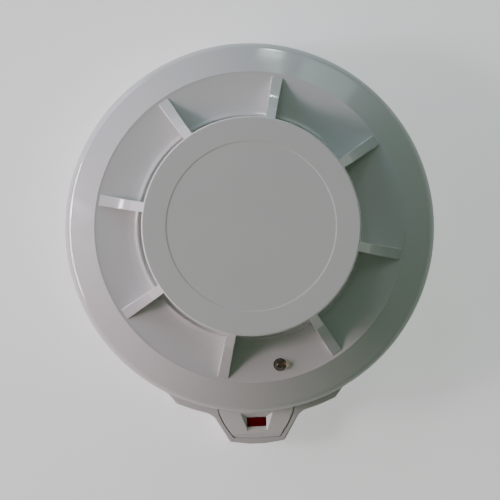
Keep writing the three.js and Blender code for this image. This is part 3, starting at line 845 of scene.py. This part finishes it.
def smoothing_capacitor():
    """An aluminium can in a black sleeve, with a crimped waist and a crossed vent on its top."""
    low, high = box_mm("smoothing_capacitor")
    at = centre_of("smoothing_capacitor")
    radius, z0, z1 = 2.0, low.z, high.z
    sleeve_line = [
        (1.5, z0, 0), (radius, z0, 0.15), (radius, z0 + 0.7, 0.3), (radius - 0.18, z0 + 1, 0.3),
        (radius, z0 + 1.3, 0.3), (radius, z1, 0.3), (1.55, z1, 0.1), (1.55, z1 - 0.2, 0), (1.5, z1 - 0.2, 0),
    ]
    sleeve = revolve("capacitor_sleeve", rounded(sleeve_line), 64)
    can = rod("capacitor_can", 1.52, z0 + 0.05, z1 - 0.12, segments=48)
    crossed = (0.4, 0.4 + math.pi / 2)
    vents = [turned(block("vent", 2.2, 0.16, z1 - 0.25, z1 + 1, (0, 0), 0.02), turn) for turn in crossed]
    combine(can, vents, "DIFFERENCE")
    for made in (sleeve, can):
        made.data.transform(Matrix.Translation(Vector((at.x, at.y, 0)) * MM))
    piece(sleeve, "head", "black_plastic", MATERIALS["black"], "smoothing_capacitor")
    dress(can, "head", MATERIALS["tin"])


def surge_suppressor():
    """A dipped disc that stands on edge."""
    low, high = box_mm("surge_suppressor")
    at = centre_of("surge_suppressor")
    radius = (high.z - low.z) / 2
    half = [(radius, 0), (0.93 * radius, 0.62), (0.62 * radius, 0.98), (0.2 * radius, 1.08)]
    upper = curve_through(half, 4) + [half[-1]]
    profile = [(0, -1.08), *((r, -z) for r, z in reversed(upper[1:])), *upper, (0, 1.08)]
    disc = revolve("surge_suppressor_disc", profile, 64)
    disc.data.transform(Matrix.Rotation(math.pi / 2, 4, "X"))
    turned(disc, math.atan2(at.y, at.x))
    disc.data.transform(Matrix.Translation(at * MM))
    return piece(disc, "head", "blue_coating", MATERIALS["blue"], "surge_suppressor")


def bead_thermistor(node, name, bead_r, lead_r, spread):
    """A resin bead, drawn down a little over its two leads."""
    low, high = box_mm(node)
    at = centre_of(node)
    top, middle = high.z, high.z - 1.2 * bead_r
    turns = [math.pi / 16 * k for k in range(-4, 8)]
    ball = [(bead_r * math.cos(t), middle + 1.2 * bead_r * math.sin(t)) for t in turns]
    neck = [(bead_r * u, middle - bead_r * v) for u, v in ((0, 1.75), (0.35, 1.7), (0.5, 1.3))]
    bead = revolve(name, [*neck, *ball, (0, top)], 48)
    bead.data.transform(Matrix.Translation(Vector((at.x, at.y, 0)) * MM))
    piece(bead, "head", "glass_bead", MATERIALS["bead"], node)
    leads = [rod("lead", lead_r, low.z, middle - bead_r, (side * spread, 0), 16) for side in (-1, 1)]
    merge(name + "_leads", leads)
    turned(leads[0], math.atan2(at.y, at.x) if math.hypot(at.x, at.y) > 1 else HEAD_TURN)
    leads[0].data.transform(Matrix.Translation(Vector((at.x, at.y, 0)) * MM))
    dress(leads[0], "head", MATERIALS["tin"])


def thermistor_post():
    """The hollow post, chamfered at its mouth and flared at its foot."""
    low, high = box_mm("thermistor_post")
    outer, inner = high.x, high.x - 0.9
    foot = outer + 0.6
    line = [
        (inner, low.z, 0), (foot, low.z, 0.2), (foot, low.z + 0.7, 0.2), (outer, low.z + 1.4, 0.4),
        (outer, high.z, 0.35), (inner + 0.25, high.z, 0.1), (inner, high.z - 0.5, 0.2),
    ]
    post = revolve("thermistor_post_moulding", rounded(line), 64)
    return piece(post, "head", "white_matt", MATERIALS["cap"], "thermistor_post")


def led_spacer():
    low, high = box_mm("led_spacer")
    at = centre_of("led_spacer")
    outer, inner = (high.x - low.x) / 2, 1.85
    line = [(inner, low.z, 0.1), (outer, low.z, 0.25), (outer, high.z, 0.25), (inner, high.z, 0.1)]
    sleeve = revolve("led_spacer_sleeve", rounded(line), 48)
    sleeve.data.transform(Matrix.Translation(Vector((at.x, at.y, 0)) * MM))
    return piece(sleeve, "head", "black_plastic", MATERIALS["black"], "led_spacer")


def cross_screw(node, body, head_h):
    """A pan-head screw with a tapered cross recess, at a CAD screw's place."""
    low, high = box_mm(node)
    at = centre_of(node)
    head_r = (high.x - low.x) / 2
    shank_r, seat = 0.5 * head_r, high.z - head_h
    line = [
        (0, low.z, 0), (shank_r - 0.3, low.z, 0.1), (shank_r, low.z + 0.4, 0.1), (shank_r, seat, 0),
        (head_r, seat, 0.1), (head_r, seat + 0.5 * head_h, 0.5 * head_h),
        (0.7 * head_r, high.z - 0.05, 1.2 * head_h), (0, high.z, 0),
    ]
    screw = revolve(node + "_turned", rounded(line, closed=False, step=math.radians(10)), 64)
    wings = []
    for turn in (0.5, 0.5 + math.pi / 2):
        floor = (0.35 * head_r, 0.1 * head_r, high.z - 0.6 * head_h)
        levels = [floor, (0.62 * head_r, 0.15 * head_r, high.z + 0.3)]
        loops = [[(-u, -v, z), (u, -v, z), (u, v, z), (-u, v, z)] for u, v, z in levels]
        wings.append(turned(loft("wing", loops), turn))
    combine(screw, wings, "DIFFERENCE")
    screw.data.transform(Matrix.Translation(Vector((at.x, at.y, 0)) * MM))
    return piece(screw, body, "steel", MATERIALS["steel"], node)


def solder_joints():
    """A fillet of solder round each rivet's tip."""
    made = []
    for name in numbered("blade_rivet"):
        at = centre_of(name)
        line = [(1.13, 0), (2.1, 0), (1.75, 0.12), (1.4, 0.4), (1.18, 0.72)]
        fillet = [(radius, BOARD_TOP + rise) for radius, rise in line]
        cone = revolve("fillet", fillet, 32)
        cone.data.transform(Matrix.Translation(Vector((at.x, at.y, 0)) * MM))
        made.append(cone)
    merge("solder_fillets", made)
    dress(made[0], "head", MATERIALS["tin"])


def status_led():
    """The clear lens with its flange, on two leads that hold a cup and a post inside it."""
    at = Matrix.Rotation(LED_ANGLE, 3, "Z") @ Vector((LED_RING_R, 0, 0))
    top, flange_z = LED_HIGH.z, LED_FLANGE_Z
    turns = [math.pi / 32 * k for k in range(16)]
    dome = [(LED_R * math.cos(t), top - LED_R + LED_R * math.sin(t)) for t in turns]
    foot = [(0, flange_z), (1.9, flange_z), (1.9, flange_z + 1), (LED_R, flange_z + 1)]
    lens = revolve("status_lens", [*foot, *dome, (0, top)], 64)
    cup_line = [(0, 3.2), (0.55, 3.2), (0.75, 2.3), (0.6, 2.3), (0.3, 2.7), (0, 2.7)]
    cup = revolve("cup", [(radius, top - drop) for radius, drop in cup_line], 32)
    stem = block("stem", 0.5, 0.7, ON_BOARD, top - 3.1, (0, 0), 0.05)
    post = block("status_leadframe", 0.5, 0.6, ON_BOARD, top - 1.9, (0, 0), 0.05)
    for made, shift in ((cup, -0.35), (stem, -0.55), (post, 0.85)):
        made.data.transform(Matrix.Translation(Vector((0, shift, 0)) * MM))
    combine(post, [cup, stem], "UNION")
    for made in (lens, post):
        turned(made, LED_ANGLE)
        made.data.transform(Matrix.Translation(at * MM))
    piece(lens, "head", "clear_lens", MATERIALS["clear"], "status_led")
    dress(post, "head", MATERIALS["tin"])


# ---------------------------------------------------------------- CAD nodes that stay

KEPT = {
    "board": ["indicator_board"],
    "steel": ["contact_spring", "contact_blade"],
    "brass": ["wire_clamp", "blade_rivet"],
    "foam": ["case_seal"],
}


def dress_kept_nodes():
    """Gives every CAD node that still shows a finished material and softened edges."""
    for key, starts in KEPT.items():
        for name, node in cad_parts.items():
            if any(name.startswith(start) for start in starts):
                node.data.materials.clear()
                node.data.materials.append(MATERIALS[key])
                soften(node, 0.12, 35)


# ---------------------------------------------------------------- studio and camera


def add_floor():
    bpy.ops.mesh.primitive_plane_add(size=4, location=(0, 0, -0.0002))
    floor = bpy.context.object
    floor.name = "studio_floor"
    s = Shader("studio_floor")
    s.set(color=(0.88, 0.88, 0.88), roughness=0.8)
    s.bsdf.inputs["Emission Color"].default_value = (1, 1, 1, 1)
    s.bsdf.inputs["Emission Strength"].default_value = FLOOR_GLOW
    floor.data.materials.append(s.material)


def lamp(name, azimuth, elevation, distance, size, power, tint, mirrored=True):
    """An area light that faces the object from a direction in degrees, or one kept out of reflections."""
    data = bpy.data.lights.new(name, "AREA")
    data.shape = "RECTANGLE"
    data.size, data.size_y = size
    data.energy = power
    data.color = tint
    light = bpy.data.objects.new(name, data)
    level = distance * math.cos(math.radians(elevation))
    turn = math.radians(azimuth)
    aim = Vector((0, 0, 0.025))
    light.location = aim + Vector(
        (level * math.cos(turn), level * math.sin(turn), distance * math.sin(math.radians(elevation)))
    )
    light.rotation_euler = (aim - light.location).to_track_quat("-Z", "Y").to_euler()
    light.visible_glossy = mirrored
    bpy.context.scene.collection.objects.link(light)
    return light


def bright_patch(name, azimuth, elevation, size, power, tint=(1, 1, 1)):
    """A hot part of a window, which only shows as a highlight on glossy edges."""
    lamp(name, azimuth, elevation, 1.0, size, power, tint).visible_diffuse = False


def add_lights():
    """A wide window to the left and small ones beyond the object, in a dim green-grey room."""
    world = bpy.data.worlds.new("studio")
    bpy.context.scene.world = world
    world.use_nodes = True
    background = world.node_tree.nodes["Background"]
    background.inputs["Color"].default_value = (*AMBIENT_TINT, 1)
    background.inputs["Strength"].default_value = AMBIENT
    lamp("window_low", 178, 27, 1.0, (0.2, 0.16), 3.5, (1.0, 0.86, 0.98), mirrored=False)
    lamp("window_wide", 180, 17, 0.9, (0.9, 0.36), 4.6, (1.0, 0.72, 0.78), mirrored=False)
    lamp("window_side", 140, 14, 0.8, (0.5, 0.28), 1.9, (0.5, 0.78, 1.0))
    lamp("far_window", 100, 33, 1.0, (0.3, 0.16), 0.83, (0.82, 0.85, 1.0), mirrored=False)
    lamp("far_corner", 60, 33, 1.0, (0.3, 0.3), 0.6, (0.72, 1.0, 0.98))
    bright_patch("window_sill", 178, 19, (0.75, 0.15), 12)
    bright_patch("window_pane", 171, 22, (0.1, 0.1), 2.2)
    bright_patch("far_pane", 80, 23, (0.1, 0.07), 1.2, (0.8, 1.0, 0.9))


def add_camera():
    """Almost straight above the cap, turned a little, as the object lies in the picture."""
    data = bpy.data.cameras.new("camera")
    data.sensor_width = 36
    data.lens = 128.3
    data.clip_start, data.clip_end = 0.01, 10
    camera = bpy.data.objects.new("camera", data)
    eye = Vector((-6.25, -5.85, 500)) * MM
    target = Vector((-0.21, -6.05, 20)) * MM
    back = (eye - target).normalized()
    right = Vector((0, 1, 0)).cross(back).normalized()
    basis = Matrix((right, back.cross(right), back)).transposed()
    roll = Matrix.Rotation(math.radians(-2.15), 3, "Z")
    camera.matrix_world = Matrix.Translation(eye) @ (basis @ roll).to_4x4()
    bpy.context.scene.collection.objects.link(camera)
    bpy.context.scene.camera = camera


add_camera()
add_lights()
add_floor()

mounting_base()
tab_cover()
indicator_led()
for screw_node in numbered("terminal_screw"):
    cross_screw(screw_node, "base", 2)

outer_case()
top_cap()
sensor_guard()

back_plate()
circuit_board()
small_parts()
flat_package("control_chip", "control_chip_body", 7, 9, 1.3, 8, "black_plastic")
flat_package("bridge_rectifier", "bridge_rectifier_body", 5, 5, 1.2, 2, "black_plastic")
smoothing_capacitor()
surge_suppressor()
bead_thermistor("sensing_thermistor", "sensing_bead", 1.7, 0.3, 0.9)
bead_thermistor("reference_thermistor", "reference_bead", 1.0, 0.25, 0.5)
thermistor_post()
led_spacer()
for screw_node in numbered("board_screw"):
    cross_screw(screw_node, "head", 1.4)
solder_joints()
status_led()
dress_kept_nodes()

bpy.context.view_layer.update()
